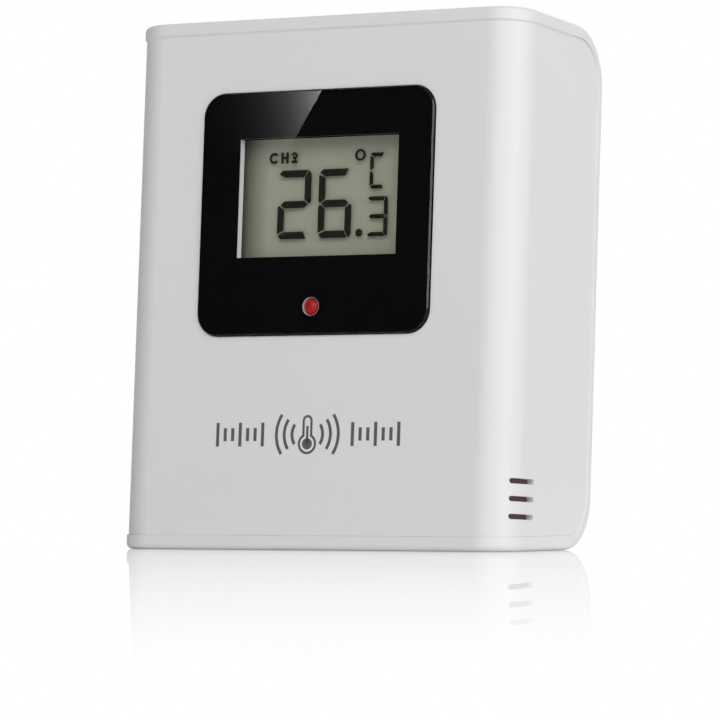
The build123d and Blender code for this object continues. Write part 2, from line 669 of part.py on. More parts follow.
def push_switch(height):
    """Square push switch on the board, bored for its plunger."""
    body = block(about(BAY_CENTRE, PUSH_HALF), (BOARD_BACK, PUSH_BACK), about(height, PUSH_HALF))
    return body - rod(BAY_CENTRE, height, BUTTON_RADIUS, (PUSH_BORE, DEPTH))


def plunger(height):
    """The push switch's own plunger."""
    return rod(BAY_CENTRE, height, BUTTON_RADIUS - RUN, PLUNGER_DEPTHS)


def button(height):
    """Push button: a flange under the well's floor keeps it in, its round end stands in the bay."""
    cap = rod(BAY_CENTRE, height, BUTTON_RADIUS, BUTTON_DEPTHS)
    cap = fillet(cap.edges().sort_by(Axis.Y)[-1], 4 * RUN)
    return cap + rod(BAY_CENTRE, height, BUTTON_FLANGE, BUTTON_FLANGE_DEPTHS)


def channel_switch_body():
    """Slide switch case with the slot that its lever runs in."""
    across, height = about(BAY_CENTRE, SWITCH_HALF[0]), about(SWITCH_HEIGHT, SWITCH_HALF[1])
    body = block(across, (BOARD_BACK, SWITCH_BACK), height)
    slot = about(SWITCH_HEIGHT, LEVER_HALF[1] + SWITCH_TRAVEL + 2 * RUN)
    return body - block(about(BAY_CENTRE, LEVER_HALF[0] + RUN), (LEVER_DEPTHS[0] - 3 * RUN, DEPTH), slot)


def channel_switch_lever():
    """Lever with a ribbed thumb piece above the well's floor."""
    lever = block(about(BAY_CENTRE, LEVER_HALF[0]), LEVER_DEPTHS, about(SWITCH_HEIGHT, LEVER_HALF[1]))
    thumb = block(about(BAY_CENTRE, THUMB_HALF[0]), THUMB_DEPTHS, about(SWITCH_HEIGHT, THUMB_HALF[1]))
    for step in (-1, 0, 1):
        height = about(SWITCH_HEIGHT + step * THUMB_HALF[1] / 2, THUMB_GROOVE / 2)
        thumb -= block(about(BAY_CENTRE, SWITCH_HALF[0]), (THUMB_DEPTHS[1] - THUMB_GROOVE, DEPTH), height)
    return lever + thumb


def cell(place, nub_up):
    """One AA cell, standing, with its raised terminal up or down."""
    x, low = place
    body = Pos(x, CELL_DEPTH, low + CELL_BODY / 2) * Cylinder(CELL_RADIUS, CELL_BODY)
    body = fillet(body.edges(), CELL_EDGE)
    nub_low = low + CELL_BODY if nub_up else low - NUB_HEIGHT
    return body + Pos(x, CELL_DEPTH, nub_low + NUB_HEIGHT / 2) * Cylinder(NUB_RADIUS, NUB_HEIGHT)


def contact_plate(across, height):
    """Flat contact strip against an end wall of the well."""
    return block(across, CONTACT_DEPTHS, (height, height + CONTACT))


def leaf(x, root, tip):
    """Spring leaf folded back from a contact plate, from the plate at root to the cell at tip."""
    near, far = CONTACT_DEPTHS[1], CONTACT_DEPTHS[0] + 2
    outline = ((near, root), (near, root + CONTACT), (far, tip + CONTACT), (far, tip))
    strip = extrude(Plane.YZ * make_face(Polyline(*outline, close=True)), LEAF_HALF, both=True)
    return Pos(x, 0, 0) * strip


def boss(x, low, high):
    """Raised round contact for a cell's terminal."""
    return Pos(x, CELL_DEPTH, (low + high) / 2) * Cylinder(BOSS_RADIUS, high - low)


def upper_contact(x):
    """Plate against the well's upper wall, with a solder tab to the inside."""
    height = WELL_HIGH - CONTACT
    tab = block(about(x, TAB_HALF), TAB_DEPTHS, (height, WELL_HIGH))
    return contact_plate(about(x, CONTACT_HALF), height) + tab


def positive_contact():
    """Contact with a boss for the left cell's raised terminal."""
    x, low = LEFT_CELL
    return upper_contact(x) + boss(x, low + CELL_BODY + NUB_HEIGHT, WELL_HIGH - CONTACT)


def negative_contact():
    """Contact with a spring leaf against the right cell's flat end."""
    x, low = RIGHT_CELL
    return upper_contact(x) + leaf(x, WELL_HIGH - CONTACT, low + CELL_BODY)


def bridge_contact():
    """Strip that joins both cells at the bottom: a leaf for the left one, a boss for the right one."""
    strip = contact_plate((LEFT_CELL[0] - CONTACT_HALF, RIGHT_CELL[0] + CONTACT_HALF), WELL_LOW)
    strip += leaf(LEFT_CELL[0], WELL_LOW, LEFT_CELL[1] - CONTACT)
    return strip + boss(RIGHT_CELL[0], WELL_LOW + CONTACT, RIGHT_CELL[1] - NUB_HEIGHT)


def battery_lead(x, pad):
    """Insulated lead from a contact's solder tab down to its pad on the board."""
    high = WELL_HIGH - CONTACT - LEAD_RADIUS - RUN
    depth = LEAD_DEPTH
    return wire(LEAD_RADIUS, (x - TAB_HALF, depth, high), (pad, depth, high), (pad, depth, PAD_HEIGHT),
                (pad, BOARD_BACK, PAD_HEIGHT))


def all_pieces():
    """Every piece of the sensor by its name, in the case's own upright frame."""
    return {
        "front_cover": front_cover(),
        "air_filter": air_filter(),
        "rear_housing": rear_housing(),
        "battery_well": battery_well(),
        "keyhole_box": keyhole_box(),
        "battery_door": battery_door(),
        "display_window": display_window(),
        "window_mask": window_mask(),
        "window_tape": window_tape(),
        "status_led": status_led(),
        "lcd_polariser": glass_plate(GLASS_LOW, STACK_FRONT, FILM),
        "lcd_front_glass": glass_plate(GLASS_LOW, STACK_FRONT + FILM, GLASS),
        "lcd_segments": lcd_segments(),
        "lcd_rear_glass": glass_plate(LEDGE_HIGH, REAR_GLASS_FRONT, GLASS),
        "lcd_reflector": glass_plate(LEDGE_HIGH, REAR_GLASS_FRONT + GLASS, FILM),
        "lcd_frame": lcd_frame(),
        "lcd_connector": lcd_connector(),
        "main_board": main_board(),
        "board_screws": screws(BOARD_POSTS, BOARD_SCREW),
        "case_screws": screws(CASE_POSTS, CASE_SCREW),
        "controller_chip": rounded_stud(*CHIP, foot=BOARD_BACK),
        "crystal": crystal(),
        "smoothing_capacitor": rounded_stud(*CAPACITOR, foot=BOARD_BACK),
        "radio_board": radio_board(),
        "radio_resonator": rounded_stud(*RESONATOR, foot=RADIO_DEPTHS[1]),
        "antenna": antenna(),
        "thermistor": thermistor(),
        "channel_switch_body": channel_switch_body(),
        "channel_switch_lever": channel_switch_lever(),
        "reset_switch": push_switch(RESET_HEIGHT),
        "reset_plunger": plunger(RESET_HEIGHT),
        "reset_button": button(RESET_HEIGHT),
        "unit_switch": push_switch(UNIT_HEIGHT),
        "unit_plunger": plunger(UNIT_HEIGHT),
        "unit_button": button(UNIT_HEIGHT),
        "left_cell": cell(LEFT_CELL, nub_up=True),
        "right_cell": cell(RIGHT_CELL, nub_up=False),
        "positive_contact": positive_contact(),
        "negative_contact": negative_contact(),
        "bridge_contact": bridge_contact(),
        "positive_lead": battery_lead(LEFT_CELL[0], POSITIVE_PAD),
        "negative_lead": battery_lead(RIGHT_CELL[0], NEGATIVE_PAD),
    }


def main():
    """Leans every piece back, sets the origin on the floor under the case and writes the files."""
    lean_back = Rot(-LEAN, 0, 0)
    box = (lean_back * case_envelope()).bounding_box()
    place = Pos(0, -(box.min.Y + box.max.Y) / 2, 0) * lean_back
    os.makedirs("parts", exist_ok=True)
    for name, piece in all_pieces().items():
        export_step(place * piece, os.path.join("parts", name + ".step"))


main()
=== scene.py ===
"""Looks for the wireless temperature sensor: materials, printed marks, studio and camera.

Every piece stands in the row frame, in metres. Sizes on the case are given in the case's own upright
frame (across, depth behind the front face, height up along the front) and case_point() leans them back.
"""
import json
import math

import bmesh
import bpy
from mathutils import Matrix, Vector


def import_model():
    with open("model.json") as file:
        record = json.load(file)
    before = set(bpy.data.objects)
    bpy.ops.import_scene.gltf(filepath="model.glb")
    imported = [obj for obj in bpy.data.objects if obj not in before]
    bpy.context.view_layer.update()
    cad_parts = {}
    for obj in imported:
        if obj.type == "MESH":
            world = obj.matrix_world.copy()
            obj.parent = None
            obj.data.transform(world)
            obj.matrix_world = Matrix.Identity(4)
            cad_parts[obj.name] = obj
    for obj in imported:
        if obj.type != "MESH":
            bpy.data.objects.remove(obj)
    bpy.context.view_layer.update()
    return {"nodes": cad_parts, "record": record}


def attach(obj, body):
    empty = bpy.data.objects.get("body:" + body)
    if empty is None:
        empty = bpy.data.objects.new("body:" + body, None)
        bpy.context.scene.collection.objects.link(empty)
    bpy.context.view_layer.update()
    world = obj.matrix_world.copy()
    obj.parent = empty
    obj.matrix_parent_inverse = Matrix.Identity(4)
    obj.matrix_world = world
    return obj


MM = 0.001

# The case's own frame, as in the CAD: it leans back, and its front edge starts this far in front of
# the origin
LEAN = math.radians(3.95)
CASE_START = 18.779
CASE_DEPTH = 32.0
CASE_WIDTH = 74.9
FRONT_CORNER = 6.15
LIP_END = 20.0                   # depth at which the soft corner under the top lip ends
FACE_CENTRE = -0.2
COVER_FACE = 0.3                 # depth of the front cover's face
WINDOW_HALF = 22.125
WINDOW_LOW = 36.1
WINDOW_HIGH = 77.5
WINDOW_CORNER = 4.0
WINDOW_PROUD = 0.4
LED_HEIGHT = 40.8
CELL_LOW = 15.0
CELL_LENGTH = 49.5

# Camera of the photograph
CAMERA_PLACE = (0.36871, -0.67744, 0.0117)
CAMERA_AZIMUTH = 28.538
CAMERA_ELEVATION = -1.518
CAMERA_LENS = 226.4
SENSOR = 36.0
CAMERA_CLIP = (0.01, 50.0)

# Studio: brightness of the surroundings as the object sees them, and directions towards the special parts
AMBIENT = 0.54
DARK_SIDE = (-0.85, -0.50, 0.10)
DARK_SIDE_DEPTH = 0.85
DARK_SIDE_ANGLES = (75.0, 25.0)
WINDOW_MIRROR = (-0.48, -0.87, 0.15)
WINDOW_MIRROR_LEVEL = 0.02
WINDOW_MIRROR_ANGLES = (24.0, 15.0)
BACKDROP = (-0.477, 0.878, 0.03)
BACKDROP_ANGLES = (32.0, 24.0)
SIDE_BOX_DIRECTION = (0.948, -0.317, 0.10)
KEY_DIRECTION = (0.40, -0.72, 0.55)
LIGHT_DISTANCE = 1.3
SIDE_BOX_SIZE = (0.42, 1.6)
SIDE_BOX_POWER = 6.3
KEY_SIZE = (1.0, 0.8)
KEY_POWER = 5.5
LIGHT_TARGET = (0, 0, 0.045)
CLEAR_LAYERS = 32               # clear surfaces that one ray may cross

# A bright card that only shiny surfaces see. The window mirrors it: its right edge crosses the window's
# front between these two points, and it fades to the left and downwards
CARD_EDGE = ((0.9, 77.9), (-5.55, 67.1))
CARD_LEFT = -26.0
CARD_BEYOND = 0.6
CARD_LEVEL = 8.8
CARD_FADE_LEFT = 0.245
CARD_FADE_DOWN = 0.06

# Floor: a pale sweep with a polish that shows near the object only
FLOOR_HALF = 4.0
FLOOR_LEVEL = -0.00002
FLOOR_POLISH = 0.66
FLOOR_FADE_START = 0.025
FLOOR_FADE_LENGTH = 0.46
FLOOR_STEEPNESS = 6.0
FLOOR_WHITE = (0.9, 0.9, 0.9, 1.0)
FLOOR_CELLS = 8

# Painted shade on the reflector behind the display: it darkens between these distances across, by this much
# at the first
PAINTED_SHADE_SPAN = (-16.4, -11.2)
PAINTED_SHADE_DEPTH = 0.76

BROAD_SCALE = 45.0               # slow unevenness, once every 20 mm or so
SEED_STEP = 7.31                 # shifts the pattern from one finish to the next
NOISE_SPAN = (0.3, 0.7)          # values between which nearly all of a noise lies
GLOSS_STEEPNESS = 5.0
EVEN_BLEND = 0.5
BLACK = (0.0, 0.0, 0.0, 1.0)
WHITE = (1.0, 1.0, 1.0, 1.0)

# Front print: a thermometer between radio waves, with a row of ticks on either side
MARK_CENTRE = (-0.4, 19.4)
MARK_DEPTH = (COVER_FACE - 0.012, COVER_FACE + 0.05)
MARK_LINE = 0.42
BULB_RADIUS = 1.75
TUBE_HALF = 0.95
BULB_DROP = 1.6
TUBE_RISE = 2.3
COLUMN_HALF = 0.22
COLUMN_RISE = 1.4
TICKS = 7
TICK_START = 8.6
TICK_STEP = 1.45
TICK_HALF = 0.3
TICK_TALL = 2.0
TICK_SHORT = 1.1
LONG_TICK_EVERY = 3
WAVE_RADII = (3.2, 4.7, 6.2)
WAVE_LINE = 0.55
WAVE_SPREAD = 34                 # degrees on either side of the horizontal

# Soft corner under the top lip: inset from the case's outline and height of each corner of its section
LIP_SECTION = ((0.03, 88.01), (0.31, 88.01), (0.31, 87.62), (0.22, 87.78))

# Raised arrow on the door
ARROW_HEAD = [(-2.2, 51.0), (2.2, 51.0), (0.0, 48.4)]
ARROW_SHAFT = (-0.6, 0.6, 51.2, 55.0)
ARROW_DEPTH = (CASE_DEPTH - 0.05, CASE_DEPTH + 0.25)

# Print beside the controls: dots and their height for each channel; centre, outer and inner radius of rings
CHANNEL_DOTS = ((1, 48.0), (2, 50.0), (3, 52.0))
DOT_START = 19.0
DOT_STEP = 1.1
DOT_RADIUS = 0.36
BUTTON_RINGS = (((20.1, 20.0), 1.0, 0.66), ((20.1, 32.0), 0.62, 0.36))
BAY_PRINT_DEPTH = (15.19, 15.23)

# Window: rings in its hole, one of them pale pink as a painted highlight, the paint on its edges and the
# strip of painted shadow over the display, which are hair-thin
HOLE_DEPTH = (-WINDOW_PROUD + 0.01, 0.54)
HOLE_FROST = (1.560, 1.52)
HOLE_PRINT = (1.569, 1.561)
EDGE_PAINT = (0.06, 0.01)        # how far its outer and inner faces lie outside the window
EDGE_PAINT_DEPTH = (0.02, 0.54)
PAINTED_SHADOW_HALF = 15.2
PAINTED_SHADOW_HEIGHTS = (69.64, 69.69)
PAINTED_SHADOW_DEPTH = (0.87, 2.08)

# Plates whose faces coincide with the glass they touch, and how far their corners grow
SWELLINGS = (("lcd_reflector", 0.04), ("window_mask", 0.02))


def case_point(across, depth, height):
    """A point of the case's own frame in millimetres, as a point of the row frame in metres."""
    along = depth * math.cos(LEAN) + height * math.sin(LEAN) - CASE_START
    up = height * math.cos(LEAN) - depth * math.sin(LEAN)
    return Vector((across, along, up)) * MM


# Finishes

def feed(tree, socket, value):
    """Links a socket to another one, or sets it to a number."""
    if isinstance(value, bpy.types.NodeSocket):
        tree.links.new(value, socket)
    else:
        socket.default_value = value


def arithmetic(tree, operation, *values):
    """The result of one operation on numbers or sockets."""
    node = tree.nodes.new("ShaderNodeMath")
    node.operation = operation
    for socket, value in zip(node.inputs, values):
        feed(tree, socket, value)
    return node.outputs["Value"]


def spread(tree, value, start, end, low, high, curve="LINEAR"):
    """A value that runs from low to high as the given one goes from start to end."""
    node = tree.nodes.new("ShaderNodeMapRange")
    node.interpolation_type = curve
    for name, amount in (("From Min", start), ("From Max", end), ("To Min", low), ("To Max", high)):
        node.inputs[name].default_value = amount
    tree.links.new(value, node.inputs["Value"])
    return node.outputs["Result"]


def grazing(tree, power):
    """0 where a surface is seen straight on, rising steeply to 1 at its edge."""
    facing = tree.nodes.new("ShaderNodeLayerWeight")
    facing.inputs["Blend"].default_value = EVEN_BLEND
    return arithmetic(tree, "POWER", facing.outputs["Facing"], power)


def mixed(tree, share, first, second):
    """Two shaders, mixed by a share from 0 to 1."""
    mix = tree.nodes.new("ShaderNodeMixShader")
    for socket, value in zip(mix.inputs, (share, first, second)):
        tree.links.new(value, socket)
    return mix.outputs["Shader"]


def bare(name):
    """A new material that has no shader yet."""
    material = bpy.data.materials.new(name)
    material.use_nodes = True
    material.node_tree.nodes.remove(material.node_tree.nodes["Principled BSDF"])
    return material


def show(tree, shader):
    """Makes a shader the surface of its material."""
    tree.links.new(shader, tree.nodes["Material Output"].inputs["Surface"])


def mapped(tree, value, low, high):
    """The value of a noise, spread from low to high."""
    return spread(tree, value, *NOISE_SPAN, low, high)


def noise(tree, place, scale, detail=3.0):
    """Noise in the row frame, with scale in features per metre."""
    texture = tree.nodes.new("ShaderNodeTexNoise")
    texture.inputs["Scale"].default_value = scale
    texture.inputs["Detail"].default_value = detail
    tree.links.new(place, texture.inputs["Vector"])
    return texture.outputs["Fac"]


def two_tone(tree, value, first, second):
    """A colour that runs from first to second as a noise rises."""
    ramp = tree.nodes.new("ShaderNodeValToRGB")
    for element, position, colour in zip(ramp.color_ramp.elements, NOISE_SPAN, (first, second)):
        element.position = position
        element.color = (*colour, 1.0)
    tree.links.new(value, ramp.inputs["Fac"])
    return ramp.outputs["Color"]


def placed(tree, index, stretch):
    """Row-frame coordinates, shifted for each finish and stretched along its grain."""
    coordinates = tree.nodes.new("ShaderNodeTexCoord")
    mapping = tree.nodes.new("ShaderNodeMapping")
    mapping.inputs["Location"].default_value = (index * SEED_STEP, 0.0, 0.0)
    mapping.inputs["Scale"].default_value = stretch
    tree.links.new(coordinates.outputs["Object"], mapping.inputs["Vector"])
    return mapping.outputs["Vector"]


def relief(tree, shader, height, depth):
    """Bumps of the given depth in metres."""
    bump = tree.nodes.new("ShaderNodeBump")
    bump.inputs["Strength"].default_value = 1.0
    bump.inputs["Distance"].default_value = depth
    tree.links.new(height, bump.inputs["Height"])
    tree.links.new(bump.outputs["Normal"], shader.inputs["Normal"])


def across_and_up(tree):
    """Row-frame coordinates across and up of the point that is shaded, in metres."""
    split = tree.nodes.new("ShaderNodeSeparateXYZ")
    tree.links.new(tree.nodes.new("ShaderNodeTexCoord").outputs["Object"], split.inputs["Vector"])
    return split.outputs["X"], split.outputs["Z"]


def finish(name, colour, roughness, uneven=0.03, grain=2500.0, depth=0.000002, stretch=(1, 1, 1), **sockets):
    """A solid material: broad colour and roughness changes, and a fine relief with its own grain."""
    material = bpy.data.materials.new(name)
    material.use_nodes = True
    tree = material.node_tree
    shader = tree.nodes["Principled BSDF"]
    place = placed(tree, len(bpy.data.materials), stretch)
    broad = noise(tree, place, BROAD_SCALE)
    fine = noise(tree, place, grain)
    darker = [channel * (1 - uneven) for channel in colour]
    lighter = [min(1.0, channel * (1 + uneven)) for channel in colour]
    tree.links.new(two_tone(tree, broad, darker, lighter), shader.inputs["Base Color"])
    rough = mapped(tree, fine, roughness * 0.88, min(1.0, roughness * 1.12))
    tree.links.new(rough, shader.inputs["Roughness"])
    relief(tree, shader, fine, depth)
    for socket, value in sockets.items():
        shader.inputs[socket.replace("_", " ")].default_value = value
    return material


def gloss_by_angle(tree, straight):
    """How much a clear plate's first face mirrors: little straight on, and more towards grazing angles."""
    share = spread(tree, grazing(tree, GLOSS_STEEPNESS), 0.0, 1.0, straight, 1.0)
    behind = tree.nodes.new("ShaderNodeNewGeometry").outputs["Backfacing"]
    return arithmetic(tree, "MULTIPLY", share, arithmetic(tree, "SUBTRACT", 1.0, behind))


def clear(name, tint, roughness, straight):
    """A thin clear material: it lets the light straight through, dims it by its tint, and shines by angle."""
    material = bare(name)
    tree = material.node_tree
    place = placed(tree, len(bpy.data.materials), (1, 1, 1))
    through = tree.nodes.new("ShaderNodeBsdfTransparent")
    through.inputs["Color"].default_value = (*tint, 1.0)
    shine = tree.nodes.new("ShaderNodeBsdfGlossy")
    rough = mapped(tree, noise(tree, place, BROAD_SCALE), roughness * 0.7, roughness * 1.3)
    tree.links.new(rough, shine.inputs["Roughness"])
    show(tree, mixed(tree, gloss_by_angle(tree, straight), through.outputs["BSDF"], shine.outputs["BSDF"]))
    return material


def banded(material, start, length, colours, limits):
    """Repaints a finish in bands along the case's height, such as the sleeve of a cell."""
    tree = material.node_tree
    shader = tree.nodes["Principled BSDF"]
    coordinates = tree.nodes.new("ShaderNodeTexCoord")
    along = tree.nodes.new("ShaderNodeVectorMath")
    along.operation = "DOT_PRODUCT"
    along.inputs[1].default_value = (0.0, math.sin(LEAN), math.cos(LEAN))
    tree.links.new(coordinates.outputs["Object"], along.inputs[0])
    ramp = tree.nodes.new("ShaderNodeValToRGB")
    ramp.color_ramp.interpolation = "CONSTANT"
    while len(ramp.color_ramp.elements) < len(colours):
        ramp.color_ramp.elements.new(0.5)
    for element, limit, colour in zip(ramp.color_ramp.elements, limits, colours):
        element.position = limit
        element.color = (*colour, 1.0)
    share = spread(tree, along.outputs["Value"], start, start + length, 0.0, 1.0)
    tree.links.new(share, ramp.inputs["Fac"])
    tree.links.new(ramp.outputs["Color"], shader.inputs["Base Color"])
    return material


def painted_left_shade(material):
    """Paints shade into a finish towards the display's left edge, where the deep opening keeps the light
    away.
    """
    tree = material.node_tree
    shader = tree.nodes["Principled BSDF"]
    plain = shader.inputs["Base Color"].links[0].from_socket
    across, _ = across_and_up(tree)
    first, last = (edge * MM for edge in PAINTED_SHADE_SPAN)
    mix = tree.nodes.new("ShaderNodeMix")
    mix.data_type = "RGBA"
    tree.links.new(spread(tree, across, first, last, PAINTED_SHADE_DEPTH, 0.0), mix.inputs["Factor"])
    sockets = [socket for socket in mix.inputs if socket.type == "RGBA"]
    tree.links.new(plain, sockets[0])
    sockets[1].default_value = BLACK
    colour = [socket for socket in mix.outputs if socket.type == "RGBA"][0]
    tree.links.new(colour, shader.inputs["Base Color"])
    return material


def circuit(name):
    """Green solder resist over fine copper tracks that show as paler, raised lines."""
    material = finish(name, (0.012, 0.10, 0.035), 0.32, uneven=0.15)
    tree = material.node_tree
    shader = tree.nodes["Principled BSDF"]
    tracks = tree.nodes.new("ShaderNodeTexBrick")
    tracks.inputs["Scale"].default_value = 130.0
    tracks.inputs["Mortar Size"].default_value = 0.05
    tracks.inputs["Color1"].default_value = (0.012, 0.10, 0.035, 1.0)
    tracks.inputs["Color2"].default_value = (0.010, 0.085, 0.03, 1.0)
    tracks.inputs["Mortar"].default_value = (0.03, 0.22, 0.07, 1.0)
    coordinates = tree.nodes.new("ShaderNodeTexCoord")
    turned = tree.nodes.new("ShaderNodeMapping")
    turned.inputs["Rotation"].default_value = (math.radians(90.0), 0.0, 0.0)
    tree.links.new(coordinates.outputs["Object"], turned.inputs["Vector"])
    tree.links.new(turned.outputs["Vector"], tracks.inputs["Vector"])
    tree.links.new(tracks.outputs["Color"], shader.inputs["Base Color"])
    return material


def all_finishes():
    """One material for each material slot of the record."""
    cell_start = case_point(0, 0, CELL_LOW)
    start = cell_start.y * math.sin(LEAN) + cell_start.z * math.cos(LEAN)
    return {
        "case_white": finish(
            "case_white", (0.822, 0.812, 0.828), 0.42, uneven=0.006, grain=5000, depth=0.0000012),
        "window_clear": clear("window_clear", (0.995, 0.995, 0.995), 0.003, 0.04),
        "filter_foam": finish("filter_foam", (0.15, 0.09, 0.092), 0.9, uneven=0.1, grain=4000, depth=0.00003),
        "mask_black": finish(
            "mask_black", (0.0036, 0.0036, 0.0045), 0.6, uneven=0.1, grain=600, depth=0.0, IOR=1.02),
        "tape_white": finish("tape_white", (0.7, 0.7, 0.68), 0.8, depth=0.00001),
        "led_red": finish("led_red", (0.40, 0.012, 0.012), 0.35, uneven=0.06, Specular_IOR_Level=0.25),
        "polariser_film": clear("polariser_film", (0.985, 0.986, 0.978), 0.05, 0.004),
        "lcd_glass": clear("lcd_glass", (0.998, 0.999, 0.998), 0.01, 0.002),
        "lcd_ink": finish("lcd_ink", (0.020, 0.022, 0.017), 0.5, Specular_IOR_Level=0.05),
        # reflector film with painted shade along its left edge
        "reflector_film": painted_left_shade(
            finish("reflector_film", (0.45, 0.455, 0.365), 0.6, uneven=0.015, grain=6000)),
        "carrier_white": finish("carrier_white", (0.75, 0.75, 0.73), 0.5),
        "contact_rubber": finish("contact_rubber", (0.5, 0.45, 0.45), 0.7, stretch=(1, 0.2, 0.2)),
        "board_green": circuit("board_green"),
        "screw_steel": finish("screw_steel", (0.55, 0.55, 0.56), 0.3, grain=9000, Metallic=1.0),
        "resin_black": finish("resin_black", (0.01, 0.01, 0.01), 0.2, depth=0.00002, grain=300),
        "plated_metal": finish("plated_metal", (0.72, 0.71, 0.68), 0.22, stretch=(1, 1, 8), Metallic=1.0),
        "capacitor_sleeve": finish("capacitor_sleeve", (0.015, 0.02, 0.07), 0.3),
        "antenna_wire": finish("antenna_wire", (0.22, 0.22, 0.23), 0.5),
        "bead_resin": finish("bead_resin", (0.02, 0.03, 0.02), 0.25),
        "switch_black": finish("switch_black", (0.018, 0.018, 0.019), 0.5, depth=0.000008),
        "button_grey": finish("button_grey", (0.18, 0.185, 0.2), 0.45, depth=0.000006),
        "cell_sleeve": banded(
            finish("cell_sleeve", (0.02, 0.05, 0.16), 0.34, grain=600, depth=0.0, Metallic=0.4),
            start, CELL_LENGTH * MM,
            ((0.62, 0.6, 0.55), (0.02, 0.05, 0.16), (0.75, 0.75, 0.76), (0.62, 0.6, 0.55)),
            (0.0, 0.04, 0.8, 0.97),
        ),
        "lead_red": finish("lead_red", (0.35, 0.012, 0.012), 0.45),
        "lead_black": finish("lead_black", (0.012, 0.012, 0.012), 0.45),
    }


# Printed and raised marks

def arc(centre, radius, start, end, count):
    """Points on an arc, with the angles in degrees."""
    angles = [math.radians(start + (end - start) * step / (count - 1)) for step in range(count)]
    return [(centre[0] + radius * math.cos(a), centre[1] + radius * math.sin(a)) for a in angles]


def prism(mesh, outline, depth):
    """Adds a closed plate with this outline to the mesh, from depth[0] to depth[1]."""
    loops = [[mesh.verts.new(case_point(x, v, z)) for x, z in outline] for v in depth]
    mesh.faces.new(loops[0])
    mesh.faces.new(reversed(loops[1]))
    for step, (first, second) in enumerate(zip(*loops)):
        following = (step + 1) % len(outline)
        mesh.faces.new((first, second, loops[1][following], loops[0][following]))


def band(outer, inner):
    """Splits the band between two matching outlines into closed quads."""
    count = len(outer)
    return [(outer[i], outer[(i + 1) % count], inner[(i + 1) % count], inner[i]) for i in range(count)]


def rectangle(left, right, low, high):
    """Corners of an upright rectangle."""
    return [(left, low), (right, low), (right, high), (left, high)]


def linked(name, data):
    """A new object in the scene."""
    thing = bpy.data.objects.new(name, data)
    bpy.context.scene.collection.objects.link(thing)
    return thing


def built(mesh, name, material, body):
    """Turns a finished mesh into an object that rides on a body."""
    bmesh.ops.remove_doubles(mesh, verts=mesh.verts, dist=0.000001)
    bmesh.ops.recalc_face_normals(mesh, faces=mesh.faces)
    data = bpy.data.meshes.new(name)
    mesh.to_mesh(data)
    mesh.free()
    piece = linked(name, data)
    piece.data.materials.append(material)
    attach(piece, body)


def marks(name, outlines, depth, material, body):
    """One object from flat outlines, riding on a body."""
    mesh = bmesh.new()
    for outline in outlines:
        prism(mesh, outline, depth)
    built(mesh, name, material, body)


def thermometer(inset):
    """Outline of a small thermometer: a bulb with a round-ended tube."""
    across, middle = MARK_CENTRE
    bulb = BULB_RADIUS - inset
    half = TUBE_HALF - inset
    opening = math.degrees(math.asin(half / bulb))
    outline = arc((across, middle - BULB_DROP), bulb, 90 + opening, 450 - opening, 25)
    return outline + arc((across, middle + TUBE_RISE), half, 0, 180, 13)


def front_mark(material):
    """Generic print on the front: a thermometer between radio waves and ticks."""
    across, height = MARK_CENTRE
    low = height - BULB_DROP
    outlines = band(thermometer(0.0), thermometer(MARK_LINE))
    outlines.append(arc((across, low), TUBE_HALF, 0, 350, 21))
    outlines.append(rectangle(across - COLUMN_HALF, across + COLUMN_HALF, low, height + COLUMN_RISE))
    for step in range(TICKS):
        reach = TICK_START + TICK_STEP * step
        tall = TICK_SHORT if step % LONG_TICK_EVERY else TICK_TALL
        for middle in (across - reach, across + reach):
            outlines.append(rectangle(middle - TICK_HALF, middle + TICK_HALF, height - tall, height + tall))
    for radius in WAVE_RADII:
        for middle in (0, 180):
            rim = arc(MARK_CENTRE, radius, middle - WAVE_SPREAD, middle + WAVE_SPREAD, 17)
            inner = arc(MARK_CENTRE, radius - WAVE_LINE, middle + WAVE_SPREAD, middle - WAVE_SPREAD, 17)
            outlines.append(rim + inner)
    marks("front_mark", outlines, MARK_DEPTH, material, "case")


def plan_path(inset, far):
    """The case's outline seen from above, from the left side round the front to the right side."""
    half = CASE_WIDTH / 2 - inset
    middle = CASE_WIDTH / 2 - FRONT_CORNER
    radius = FRONT_CORNER - inset
    path = [(-half, far)]
    path += arc((-middle, FRONT_CORNER), radius, 180, 270, 13)
    path += arc((middle, FRONT_CORNER), radius, 270, 360, 13)
    return path + [(half, far)]


def lip_round(material):
    """Softens the corner where the front cover meets the underside of the housing's top lip."""
    mesh = bmesh.new()
    rows = [[mesh.verts.new(case_point(x, v, level)) for x, v in plan_path(inset, LIP_END)]
            for inset, level in LIP_SECTION]
    for first, second in zip(rows, rows[1:] + rows[:1]):
        for step in range(len(first) - 1):
            mesh.faces.new((first[step], first[step + 1], second[step + 1], second[step]))
    for end in (0, -1):
        mesh.faces.new([row[end] for row in rows])
    built(mesh, "lip_round", material, "case")


def door_arrow(material):
    """Raised arrow on the door that shows which way the latch moves."""
    marks("door_arrow", [ARROW_HEAD, rectangle(*ARROW_SHAFT)], ARROW_DEPTH, material, "door")


def bay_marks(material):
    """Print beside the controls: one to three dots for the channels, a ring for each button."""
    outlines = []
    for count, height in CHANNEL_DOTS:
        for dot in range(count):
            outlines.append(arc((DOT_START + DOT_STEP * dot, height), DOT_RADIUS, 0, 340, 18))
    for centre, outer, inner in BUTTON_RINGS:
        outlines += ring_outlines(centre, outer, inner)
    marks("bay_marks", outlines, BAY_PRINT_DEPTH, material, "case")


def ring_outlines(centre, outer, inner, count=48):
    """Quads that fill the ring between two circles."""
    return band(arc(centre, outer, 0, 360 * (count - 1) / count, count),
                arc(centre, inner, 0, 360 * (count - 1) / count, count))


def window_hole_wall(frost_and_highlight, dark):
    """The frost-finished wall of the window's hole around the indicator, coloured pale pink as a painted
    highlight on the indicator's rim; through the window it looks dark.
    """
    centre = (FACE_CENTRE, LED_HEIGHT)
    frost = ring_outlines(centre, *HOLE_FROST)
    paint = ring_outlines(centre, *HOLE_PRINT)
    marks("window_hole_wall", frost, HOLE_DEPTH, frost_and_highlight, "case")
    marks("window_hole_print", paint, HOLE_DEPTH, dark, "case")


